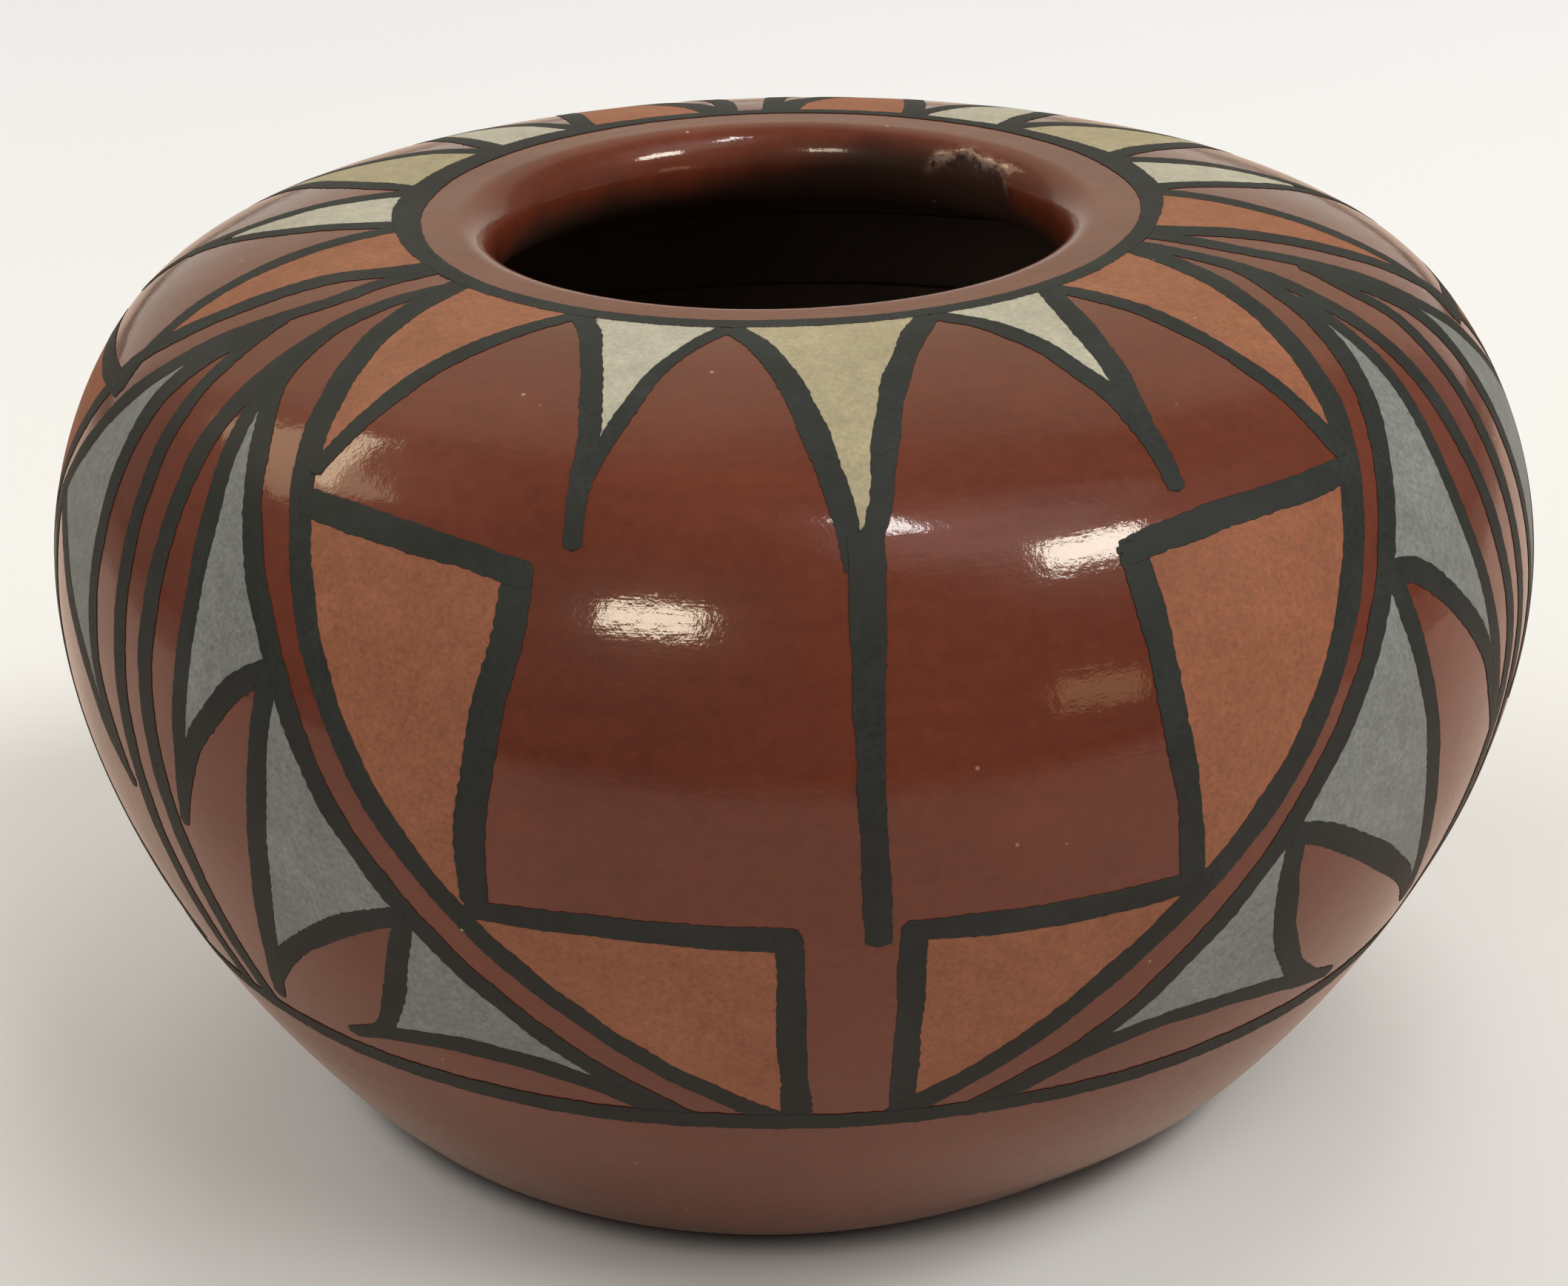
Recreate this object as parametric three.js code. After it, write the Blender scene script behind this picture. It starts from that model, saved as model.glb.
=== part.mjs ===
// Hand-coiled earthenware bowl with a polished red slip coat, built up as it is in clay:
// a pressed base dish, wall coils and a rim coil joined by slanted laps, and the thin slip over them.
// Millimetres, +Z up, origin at the centre of the flat resting face.

import * as THREE from 'three';

// Finished outside, from the foot edge over the belly and the shoulder to the neck.
// A pull is how far the outline keeps its direction on either side of such a point.
const FOOT_RADIUS = 40;
const FOOT_SLOPE = 43.5; // degrees above level at which the wall leaves the foot
const FOOT_PULL = 15.8;
const BELLY_RADIUS = 63.5; // widest point of the bowl
const BELLY_HEIGHT = 47.8;
const BELLY_PULL_DOWN = 17.5;
const BELLY_PULL_UP = 10.6;
const SHOULDER_INSET = 8.6; // inwards from the belly to the turn of the shoulder
const SHOULDER_RISE = 21.5; // upwards from the belly to the turn of the shoulder
const SHOULDER_SLOPE = 41.6; // degrees above level
const SHOULDER_PULL_DOWN = 4.2;
const SHOULDER_PULL_UP = 7;
const NECK_RADIUS = 30; // where the shoulder runs out level
const NECK_RISE = 6.9; // upwards from the turn of the shoulder to the neck
const NECK_PULL = 8.8;

// Lip around the mouth
const LIP_FLAT = 3; // level top between the neck and the roll
const LIP_ROLL = 2.3; // how far the roll stands into the mouth
const LIP_THICKNESS = 7.5;

// Clay and slip
const WALL_THICKNESS = 6;
const BASE_THICKNESS = 7;
const SLIP_THICKNESS = 0.4;
const SLIP_START = 2; // bare clay left along the outside, from the foot edge to the slip

// Coils, measured along the outside
const BASE_REACH = 14; // outside wall that belongs to the base dish
const RIM_REACH = 9; // outside wall that belongs to the rim coil
const COIL_COUNT = 7;
const COIL_LAP = 5; // how far each seam climbs from the inside of the wall to the outside

// Facets
const TURN_STEPS = 40; // around the axis
const COIL_STEPS = 3; // up each coil
const LIP_STEPS = 6; // around the roll of the lip

const slipRed = { color: 0x6e3226, roughness: 0.28, metalness: 0 };
const bareClay = { color: 0x8f6044, roughness: 0.9, metalness: 0 };

const neckHeight = BELLY_HEIGHT + SHOULDER_RISE + NECK_RISE;
const lipCentre = new THREE.Vector2(NECK_RADIUS - LIP_FLAT, neckHeight - LIP_THICKNESS / 2);

/** Point reached from a start by going a distance at a slope in degrees above level. */
function along(start, distance, slope) {
  const angle = THREE.MathUtils.degToRad(slope);
  return new THREE.Vector2(
    start.x + distance * Math.cos(angle),
    start.y + distance * Math.sin(angle),
  );
}

/** Outline of the finished outside as three smooth curves, x the radius and y the height. */
function outsideCurve() {
  const foot = new THREE.Vector2(FOOT_RADIUS, 0);
  const belly = new THREE.Vector2(BELLY_RADIUS, BELLY_HEIGHT);
  const shoulder = new THREE.Vector2(BELLY_RADIUS - SHOULDER_INSET, BELLY_HEIGHT + SHOULDER_RISE);
  const neck = new THREE.Vector2(NECK_RADIUS, neckHeight);
  const inwards = 180 - SHOULDER_SLOPE;
  const lower = new THREE.CubicBezierCurve(
    foot,
    along(foot, FOOT_PULL, FOOT_SLOPE),
    along(belly, -BELLY_PULL_DOWN, 90),
    belly,
  );
  const upper = new THREE.CubicBezierCurve(
    belly,
    along(belly, BELLY_PULL_UP, 90),
    along(shoulder, -SHOULDER_PULL_DOWN, inwards),
    shoulder,
  );
  const top = new THREE.CubicBezierCurve(
    shoulder,
    along(shoulder, SHOULDER_PULL_UP, inwards),
    along(neck, NECK_PULL, 0),
    neck,
  );
  const outside = new THREE.CurvePath();
  outside.add(lower);
  outside.add(upper);
  outside.add(top);
  return outside;
}

const outside = outsideCurve();
const outsideLength = outside.getLength();
const bellyReach = outside.curves[0].getLength();

/** Point of the wall at a distance along the outside from the foot edge and a depth below it. */
function wallPoint(reach, depth) {
  const share = reach / outsideLength;
  const point = outside.getPoint(share);
  const direction = outside.getTangent(share);
  return new THREE.Vector2(point.x - depth * direction.y, point.y + depth * direction.x);
}

/** Clay thickness: even up to the belly, then growing steadily to the lip. */
function wallDepth(reach) {
  const share = Math.max(0, (reach - bellyReach) / (outsideLength - bellyReach));
  return THREE.MathUtils.lerp(WALL_THICKNESS, LIP_THICKNESS, share);
}

/** Evenly spaced distances from one place to another, both included. */
function spaced(from, to, steps) {
  return Array.from({ length: steps + 1 }, (_, step) => THREE.MathUtils.lerp(from, to, step / steps));
}

/** Half turn of the lip at a depth below its finished surface, from its level top to its underside. */
function lipRoll(depth) {
  return spaced(0, Math.PI, LIP_STEPS).map((turn) => new THREE.Vector2(
    lipCentre.x - (LIP_ROLL - depth) * Math.sin(turn),
    lipCentre.y + (LIP_THICKNESS / 2 - depth) * Math.cos(turn),
  ));
}

const clayOutside = (reach) => wallPoint(reach, SLIP_THICKNESS);
const clayInside = (reach) => wallPoint(reach, wallDepth(reach));

// Seam number 0 is on the base dish, and the last one is under the rim coil.
const coilReach = (outsideLength - BASE_REACH - RIM_REACH) / COIL_COUNT;
const seamOutside = (seam) => BASE_REACH + seam * coilReach + COIL_LAP / 2;
const seamInside = (seam) => BASE_REACH + seam * coilReach - COIL_LAP / 2;

// Places along the outside where facets meet, shared by the clay and the slip that lies on it.
const baseStops = spaced(SLIP_START, seamOutside(0), COIL_STEPS);
const rimStops = spaced(seamOutside(COIL_COUNT), outsideLength, COIL_STEPS);
const coilStops = (coil) => spaced(seamOutside(coil - 1), seamOutside(coil), COIL_STEPS);

/** Solid of revolution about +Z from a section that goes up the outside and back down the inside. */
function turned(name, section, finish) {
  const geometry = new THREE.LatheGeometry(section, TURN_STEPS);
  geometry.rotateX(Math.PI / 2);
  const mesh = new THREE.Mesh(geometry, new THREE.MeshStandardMaterial(finish));
  mesh.name = name;
  return mesh;
}

/** Closed ring of revolution: the section's first point is repeated at its end. */
function turnedRing(name, section, finish) {
  return turned(name, [...section, section[0]], finish);
}

/** Flat-bottomed dish whose inside floor meets the line of the wall in a corner. */
function baseDish() {
  const rim = clayInside(seamInside(0));
  const direction = outside.getTangent(seamInside(0) / outsideLength);
  const cornerRadius = rim.x - ((rim.y - BASE_THICKNESS) * direction.x) / direction.y;
  return turned('base_dish', [
    new THREE.Vector2(0, 0),
    new THREE.Vector2(FOOT_RADIUS, 0),
    ...baseStops.map(clayOutside),
    rim,
    new THREE.Vector2(cornerRadius, BASE_THICKNESS),
    new THREE.Vector2(0, BASE_THICKNESS),
  ], bareClay);
}

/** One coil of the wall, between the seam that it lies on and the seam of the next coil. */
function wallCoil(coil) {
  const down = spaced(seamInside(coil), seamInside(coil - 1), COIL_STEPS);
  return turnedRing(`wall_coil_${coil}`, [
    ...coilStops(coil).map(clayOutside),
    ...down.map(clayInside),
  ], bareClay);
}

/** The last coil, with the level neck and the rolled lip. */
function rimCoil() {
  const down = spaced(outsideLength, seamInside(COIL_COUNT), COIL_STEPS);
  return turnedRing('rim_coil', [
    ...rimStops.map(clayOutside),
    ...lipRoll(SLIP_THICKNESS),
    ...down.map(clayInside),
  ], bareClay);
}

/** Slip coat from just above the foot, over the shoulder and around the roll of the lip. */
function redSlip() {
  const coils = spaced(1, COIL_COUNT, COIL_COUNT - 1);
  const upperStops = [...coils.map(coilStops), rimStops].flatMap((stops) => stops.slice(1));
  const stops = [...baseStops, ...upperStops];
  const finished = [...stops.map((reach) => wallPoint(reach, 0)), ...lipRoll(0)];
  const bedded = [...stops.map(clayOutside), ...lipRoll(SLIP_THICKNESS)];
  return turnedRing('red_slip', [...finished, ...bedded.reverse()], slipRed);
}

const bowl = new THREE.Group();
bowl.add(baseDish());
for (let coil = 1; coil <= COIL_COUNT; coil += 1) bowl.add(wallCoil(coil));
bowl.add(rimCoil());
bowl.add(redSlip());

export default bowl;
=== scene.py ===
import math

import bpy
import numpy as np
from mathutils import Matrix, Quaternion, Vector


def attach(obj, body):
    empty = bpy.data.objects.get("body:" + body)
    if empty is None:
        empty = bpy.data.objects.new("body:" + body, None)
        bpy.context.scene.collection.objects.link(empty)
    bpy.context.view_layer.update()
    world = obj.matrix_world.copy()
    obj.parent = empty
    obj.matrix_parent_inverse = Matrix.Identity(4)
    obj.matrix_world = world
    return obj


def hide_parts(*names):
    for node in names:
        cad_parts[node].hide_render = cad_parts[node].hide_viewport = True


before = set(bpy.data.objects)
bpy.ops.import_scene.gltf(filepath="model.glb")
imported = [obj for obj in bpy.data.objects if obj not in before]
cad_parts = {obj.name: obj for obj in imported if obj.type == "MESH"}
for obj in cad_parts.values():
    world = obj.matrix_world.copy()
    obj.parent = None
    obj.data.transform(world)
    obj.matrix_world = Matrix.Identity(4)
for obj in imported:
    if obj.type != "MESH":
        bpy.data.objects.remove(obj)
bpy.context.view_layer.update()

# Base dish: the clay pancake that the bowl was begun on, pressed flat underneath, its edge turned up.
# Fired earthenware, bare and rubbed under the foot and smoke-dark inside; coil 1 is lapped onto its edge.
mm = 0.001
foot = np.array([40.0, 0.0]) * mm  # radius and height of the points that the outline turns at
belly = np.array([63.5, 47.8]) * mm
shoulder = np.array([54.9, 69.3]) * mm
neck = np.array([30.0, 76.2]) * mm
foot_slope = math.radians(43.5)
shoulder_slope = math.radians(180 - 41.6)
foot_pull = 15.8 * mm  # how far the outline keeps its direction beside such a point
belly_pull_down = 17.5 * mm
belly_pull_up = 10.6 * mm
shoulder_pull_down = 4.2 * mm
shoulder_pull_up = 7.0 * mm
neck_pull = 8.8 * mm
foot_round = 4.0 * mm  # radius of the worn edge under the foot
lip_flat = 3.0 * mm
lip_roll = 3.1 * mm
lip_thickness = 7.5 * mm
wall_thickness = 6.0 * mm
base_thickness = 7.0 * mm
slip_bed = 0.43 * mm  # clay lies this far below the finished outside
back_fall = 0.6 * mm  # the shoulder is this much lower at the back, fading in over these radii and heights
fall_radii = 33 * mm, 47 * mm
fall_heights = 48 * mm, 70 * mm
foot_lift = 1.0 * mm  # the foot edge stands this far off the table at the right of the front
lift_radii = 29 * mm, 40 * mm
lift_height = 7 * mm
lift_turn = 0.55  # middle and spread of that part of the edge, in radians
lift_spread = 0.5
axis_bow = 1.07 * mm  # the middle of the bowl stands this far to the right of its foot and mouth
bow_height = 39.4 * mm
base_reach = 14.0 * mm
rim_reach = 9.0 * mm
coil_count = 7
coil_lap = 5.0 * mm
foot_hollow = 0.3 * mm  # the middle of the underside stands this far off the table
floor_run_out = 16 * mm  # the inside of the wall curves out into the floor over this length
middle_cap = 0.3 * mm  # radius of the small caps in the middle of the dish
clay_turns = 176


def heading(angle):
    """Unit step in the section at an angle above level, first outwards and then up."""
    return np.array([math.cos(angle), math.sin(angle)])


def bezier(start, after_start, before_end, end, steps=700):
    """Cubic curve: four points weighted by the Bernstein polynomials of an even parameter."""
    share = np.linspace(0, 1, steps)[:, None]
    rest = 1 - share
    return (rest ** 3 * start + 3 * rest ** 2 * share * after_start
            + 3 * rest * share ** 2 * before_end + share ** 3 * end)


def lengths(line):
    """Distance of each point of a line from its first one, along the line."""
    return np.append(0, np.cumsum(np.hypot(*np.diff(line, axis=0).T)))


def outline_table():
    """Finished outside as radius, height and reach: a rounded foot edge, three smooth curves up to the
    neck, the level lip and half an ellipse into the mouth. Reach is 0 at the foot edge, before rounding."""
    inwards = heading(shoulder_slope)
    lower = bezier(foot, foot + foot_pull * heading(foot_slope), belly - [0, belly_pull_down], belly)
    upper = bezier(belly, belly + [0, belly_pull_up], shoulder - shoulder_pull_down * inwards, shoulder)
    top = bezier(shoulder, shoulder + shoulder_pull_up * inwards, neck + [neck_pull, 0], neck)
    wall = np.vstack([lower, upper[1:], top[1:]])
    wall_reach = lengths(wall)
    cut = foot_round * math.tan(foot_slope / 2)
    turn = np.linspace(0, foot_slope, 40)
    edge = foot - [cut, 0] + foot_round * np.stack([np.sin(turn), 1 - np.cos(turn)], axis=1)
    roll = np.linspace(0, math.pi, 240)[1:]
    flat = neck - np.linspace(0, lip_flat, 60)[1:, None] * [1, 0]
    lip = flat[-1] - [0, lip_thickness / 2]
    lip = lip + np.stack([-lip_roll * np.sin(roll), lip_thickness / 2 * np.cos(roll)], axis=1)
    line = np.vstack([edge, wall[wall_reach > cut], flat, lip])
    reach = lengths(line)
    reach += cut - reach[len(edge) - 1]
    slope = np.gradient(line, reach, axis=0)
    slope /= np.hypot(slope[:, 0], slope[:, 1])[:, None]
    return line, reach, slope, wall_reach[-1], wall_reach[len(lower) - 1]


outline, outline_reach, outline_slope, neck_reach, belly_reach = outline_table()


def section(reach, depth=0.0):
    """Radius and height of the wall at a reach up the outside and a depth square below it."""
    radius = np.interp(reach, outline_reach, outline[:, 0])
    height = np.interp(reach, outline_reach, outline[:, 1])
    out = np.interp(reach, outline_reach, outline_slope[:, 0])
    rise = np.interp(reach, outline_reach, outline_slope[:, 1])
    size = np.hypot(out, rise)
    return radius - depth * rise / size, height + depth * out / size


def eased(value, low, high):
    """Smooth step from 0 to 1 between two limits."""
    share = np.clip((value - low) / (high - low), 0, 1)
    return share * share * (3 - 2 * share)


def swelling(turn, middle, spread):
    """Bell curve round the axis: 1 at the middle turn, falling away over the spread."""
    return np.exp(-(np.angle(np.exp(1j * (turn - middle))) / spread) ** 2)


def turned(turn, radius, height):
    """Section carried round the axis: turn 0 is the front, -Y, and grows towards +X. The hand-built
    ring is out of round by a few low waves, its middle bows to the right, the shoulder falls away sooner
    at the back than at the front, and part of the foot edge does not touch the table."""
    oval = (0.0012 * np.sin(2 * turn + 0.6 + 24 * height) + 0.0009 * np.sin(3 * turn - 1.1 - 31 * height)
            + 0.0004 * np.sin(7 * turn + 2.0 + 90 * height))
    middle = axis_bow * (1 - ((height - bow_height) / bow_height) ** 2)
    ring = radius * (1 + oval)
    fall = eased(radius, *fall_radii) * eased(height, *fall_heights)
    lifted = height - back_fall * fall * np.clip(-np.cos(turn), 0, 1) ** 2
    low_edge = eased(radius, *lift_radii) * (1 - eased(height, 0, lift_height))
    lifted = lifted + foot_lift * low_edge * swelling(turn, lift_turn, lift_spread)
    place = ring * np.sin(turn) + middle, -ring * np.cos(turn), lifted
    return np.stack(np.broadcast_arrays(*place), axis=-1)


def full_turn(count):
    """Evenly spaced turns once round the axis, from the back over the left and the front."""
    return np.linspace(-math.pi, math.pi, count, endpoint=False)


def skin(rings, loop):
    """Points and outward faces over a stack of closed rings: neighbours are joined by quads, the last
    ring to the first in a loop, and otherwise the two end rings are closed by caps."""
    count, size = rings.shape[:2]
    row = np.arange(count if loop else count - 1)[:, None]
    column = np.arange(size)[None, :]
    after = (row + 1) % count
    beside = (column + 1) % size
    corners = [row * size + column, row * size + beside, after * size + beside, after * size + column]
    quads = np.stack(np.broadcast_arrays(*corners), axis=-1).reshape(-1, 4)
    points = rings.reshape(-1, 3)
    first, second, third, fourth = [points[quads[:, corner]] - points.mean(axis=0) for corner in range(4)]
    volume = np.sum(first * np.cross(second, third)) + np.sum(first * np.cross(third, fourth))
    caps = [] if loop else [np.arange(size)[::-1], (count - 1) * size + np.arange(size)]
    turned_in = -1 if volume < 0 else 1
    faces = quads[:, ::turned_in].tolist() + [cap[::turned_in].tolist() for cap in caps]
    return points, faces


def piece(name, points, faces, smooth, material, nodes, fields):
    """Object at the origin, its faces smooth or flat, with one number per point for each named field."""
    mesh = bpy.data.meshes.new(name)
    mesh.from_pydata(points.tolist(), [], faces)
    mesh.polygons.foreach_set("use_smooth", np.full(len(faces), smooth))
    for field, values in fields.items():
        mesh.attributes.new(field, "FLOAT", "POINT").data.foreach_set("value", np.ravel(values))
    mesh.materials.append(material)
    shape = bpy.data.objects.new(name, mesh)
    bpy.context.scene.collection.objects.link(shape)
    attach(shape, "root")
    if nodes:
        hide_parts(*nodes)


def new_material(name, roughness, ior):
    """Material with one principled shader: returns it with its node tree and that shader."""
    material = bpy.data.materials.new(name)
    material.use_nodes = True
    shader = material.node_tree.nodes["Principled BSDF"]
    shader.inputs["Roughness"].default_value = roughness
    shader.inputs["IOR"].default_value = ior
    return material, material.node_tree, shader


def wire(node, sockets):
    """Named sockets of a shader node linked to another socket, or set where a plain number is given."""
    for name, value in sockets.items():
        if isinstance(value, bpy.types.NodeSocket):
            node.id_data.links.new(value, node.inputs[name])
        else:
            node.inputs[name].default_value = value
    return node


def added(source, kind, sockets, **settings):
    """New node in the tree of a source socket: its settings are made first and then its sockets wired."""
    node = source.id_data.nodes.new("ShaderNode" + kind)
    for name, value in settings.items():
        setattr(node, name, value)
    return wire(node, sockets)


def coordinates(tree):
    """Object coordinates of the piece, in metres."""
    return tree.nodes.new("ShaderNodeTexCoord").outputs["Object"]


def field_value(tree, name):
    """Number stored per point under a name."""
    node = tree.nodes.new("ShaderNodeAttribute")
    node.attribute_name = name
    return node.outputs["Fac"]


def noise(place, scale, detail=3.0, rough=0.55, bend=0.0):
    """Cloudy value from 0 to 1, with scale in waves per metre."""
    sockets = {"Vector": place, "Scale": scale, "Detail": detail, "Roughness": rough, "Distortion": bend}
    return added(place, "TexNoise", sockets).outputs["Fac"]


def spots(place, scale):
    """Distance from the nearest of many scattered points, and the colour given to that point."""
    node = added(place, "TexVoronoi", {"Vector": place, "Scale": scale})
    return node.outputs["Distance"], node.outputs["Color"]


def ramp(value, stops):
    """Colour read off a row of (position, colour) stops."""
    node = added(value, "ValToRGB", {"Fac": value})
    elements = node.color_ramp.elements
    while len(elements) < len(stops):
        elements.new(0.5)
    for element, (position, colour) in zip(elements, stops):
        element.position = position
        element.color = (*colour, 1.0)
    return node.outputs["Color"]


def two_tone(cloud, dark, light):
    """Colour that drifts between two shades over the middle range of a cloudy value."""
    return ramp(cloud, [(0.3, dark), (0.7, light)])


def span(value, low, high, to_low, to_high, form="LINEAR"):
    """Value carried from one range to another and held inside it."""
    sockets = {"Value": value, "From Min": low, "From Max": high, "To Min": to_low, "To Max": to_high}
    return added(value, "MapRange", sockets, interpolation_type=form).outputs["Result"]


def blend(share, first, second, kind="MIX"):
    """Two colours mixed by a share that is a plain number or varies over the surface."""
    sockets = {"Factor": share, "A": first, "B": second}
    return added(first, "Mix", sockets, data_type="RGBA", blend_type=kind).outputs["Result"]


def product(first, second):
    """Two varying numbers multiplied."""
    return added(first, "Math", {0: first, 1: second}, operation="MULTIPLY").outputs[0]


def bump(height, distance, strength, under=None):
    """Surface normal tilted by a height that is 1 at the given distance, over another normal if given."""
    sockets = {"Height": height, "Distance": distance, "Strength": strength}
    if under is not None:
        sockets["Normal"] = under
    return added(height, "Bump", sockets).outputs["Normal"]


def clay_material():
    """Bare fired clay, tan with grey fire clouds and grog; smoke-dark where the field inside is 1."""
    material, tree, shader = new_material("bare_clay", 0.85, 1.45)
    place = coordinates(tree)
    inside = field_value(tree, "inside")
    body = ramp(noise(place, 38, 4), [(0.25, (0.18, 0.085, 0.05)), (0.5, (0.30, 0.155, 0.09)),
                                      (0.75, (0.40, 0.235, 0.145))])
    soot = two_tone(noise(place, 60, 5), (0.095, 0.066, 0.052), (0.165, 0.115, 0.088))
    distance, _ = spots(place, 420)
    grog = ramp(distance, [(0.0, (0.55, 0.42, 0.30)), (0.16, (0.25, 0.14, 0.09))])
    grog_share = product(span(distance, 0.08, 0.17, 0.3, 0.0), span(inside, 0.0, 1.0, 1.0, 0.0))
    grain = noise(place, 1400, 4, 0.65)
    dents = bump(noise(place, 160, 3, 0.5, 0.6), 0.25 * mm, 0.5)
    wire(shader, {"Base Color": blend(grog_share, blend(inside, body, soot), grog),
                  "Roughness": span(grain, 0.3, 0.7, 0.72, 0.95),
                  "Normal": bump(grain, 0.08 * mm, 0.6, dents)})
    return material


def seam_outside(seam):
    """Reach of a seam on the outside; seam 0 lies on the base dish."""
    return base_reach + seam * (neck_reach - base_reach - rim_reach) / coil_count + coil_lap / 2


def seam_inside(seam):
    """Reach of the same seam on the inside of the wall, where it starts its climb."""
    return seam_outside(seam) - coil_lap


def base_section():
    """Section of the dish from the middle of the underside, round the foot edge, up to the lap and back
    down the inside to the middle of the floor."""
    under = np.linspace(middle_cap, outline[0, 0], 26)
    under = np.stack([under, foot_hollow * (1 - (under / outline[0, 0]) ** 2) ** 2], axis=1)
    climb = np.linspace(outline_reach[0], seam_outside(0), 30)[1:]
    bed = slip_bed * np.clip((climb - 0.2 * mm) / (1.2 * mm), 0, 1)
    outside = np.stack(section(climb, bed), axis=1)
    rim = np.stack(section(np.array([seam_inside(0)]), wall_thickness), axis=1)[0]
    slope = outline_slope[np.searchsorted(outline_reach, seam_inside(0))]
    corner = np.array([rim[0] - (rim[1] - base_thickness) * slope[0] / slope[1], base_thickness])
    hollow = bezier(rim, corner, corner, corner - [floor_run_out, 0], 22)
    floor_line = np.linspace(hollow[-1, 0], middle_cap, 20)[1:]
    floor_line = np.stack([floor_line, np.full(len(floor_line), base_thickness)], axis=1)
    inside = np.append(np.zeros(len(under) + len(outside)), np.ones(len(hollow) + len(floor_line)))
    return np.vstack([under, outside, hollow, floor_line]), inside


bare_clay = clay_material()
dish_section, dish_inside = base_section()
dish_turn = full_turn(clay_turns)[None, :]
dish_radius, dish_height = dish_section[:, :1], dish_section[:, 1:]
swirl = 0.14 * mm * np.sin(900 * dish_radius + 2 * dish_turn)
swirl = swirl * dish_inside[:, None] * (dish_radius < 38 * mm)
dish_points, dish_faces = skin(turned(dish_turn, dish_radius, dish_height + swirl), loop=False)
piece("base_dish", dish_points, dish_faces, True, bare_clay, ["base_dish"],
      {"inside": np.repeat(dish_inside, clay_turns)})

# Wall coils 1 to 7: ropes of clay laid round on the dish and on each other, then scraped together.
# Fired earthenware, hidden by the slip outside; inside they show as low smoke-dark swells between laps.
coil_swell = 0.45 * mm


def wall_depth(reach):
    """Clay thickness: even up to the belly, then growing steadily to the lip."""
    share = np.clip((reach - belly_reach) / (neck_reach - belly_reach), 0, 1)
    return wall_thickness + (lip_thickness - wall_thickness) * share


def around(section_points):
    """Rings of a section turned about the axis, with the shallow finger marks of the inside, waves under a
    fifth of a millimetre that lean with the height."""
    turn = full_turn(clay_turns)[:, None]
    radius, height = section_points[None, :, 0], section_points[None, :, 1]
    marks = 0.16 * mm * np.sin(9 * turn + 210 * height + 1.7 * np.sin(3 * turn)) * (radius < foot[0] * 1.45)
    return turned(turn, radius + marks, height)


def lap(start, end):
    """Points across the slanted lap between two coils, without its ends."""
    return start + (end - start) * np.linspace(0, 1, 6)[1:-1, None]


for coil in range(1, coil_count + 1):
    up = np.linspace(seam_outside(coil - 1), seam_outside(coil), 12)
    down = np.linspace(seam_inside(coil), seam_inside(coil - 1), 15)
    share = np.linspace(-1, 1, len(down))
    coil_outside = np.stack(section(up, slip_bed), axis=1)
    coil_inside = np.stack(section(down, wall_depth(down) + coil_swell * (1 - share ** 2)), axis=1)
    coil_section = np.vstack([coil_outside, lap(coil_outside[-1], coil_inside[0]),
                              coil_inside, lap(coil_inside[-1], coil_outside[0])])
    coil_points, coil_faces = skin(around(coil_section), loop=True)
    name = f"wall_coil_{coil}"
    piece(name, coil_points, coil_faces, True, bare_clay, [name],
          {"inside": np.ones(len(coil_points))})

# Rim coil: the last rope of clay, pressed level at the neck and rolled over into a thick lip.
# Fired earthenware, slipped on top and round the roll, bare and smoke-dark on its underside.
rim_up = np.linspace(seam_outside(coil_count), outline_reach[-1], 44)
rim_down = np.linspace(neck_reach, seam_inside(coil_count), 14)
rim_inside = np.stack(section(rim_down, wall_depth(rim_down)), axis=1)
rim_outside = np.stack(section(rim_up, slip_bed), axis=1)
rim_lap = lap(rim_inside[-1], rim_outside[0])
rim_points, rim_faces = skin(around(np.vstack([rim_outside, rim_inside, rim_lap])), loop=True)
piece("rim_coil", rim_points, rim_faces, True, bare_clay, ["rim_coil"],
      {"inside": np.ones(len(rim_points))})

# Red slip: a skin of iron-rich clay brushed over the whole outside and into the mouth.
# Polished with a stone in level strokes before firing; it runs out unevenly under the foot and in the lip.
slip_turns = 300
slip_thickness = 0.4 * mm
slip_edge = 0.5 * mm  # length over which its edges are rounded off
slip_stop = 1.6 * mm  # it ends about this far before the end of the lip's roll
lip_share = 0.91  # share of the way up the slip after which its rows are closer, round the lip
smoke_start = 7.0  # millimetres past the neck at which the slip inside the lip begins to darken
smoke_fade = 4.2
blister_start = 5.4  # millimetres past the neck at which it has blistered off, and where round the lip
blister_turn = 2.34
blister_spread = 0.25
blister_sink = 0.14 * mm
blister_curl = 0.2 * mm


def finished(turn, reach, lift):
    """Point on the finished outside at a turn and a reach, raised square off it by a lift; the stone
    left long low facets."""
    facet = 0.02 * mm * np.sin(5 * turn + 260 * reach + 1.5 * np.sin(2 * turn + 90 * reach))
    radius, height = section(reach, -(lift + facet))
    return turned(turn, radius, height)


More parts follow.
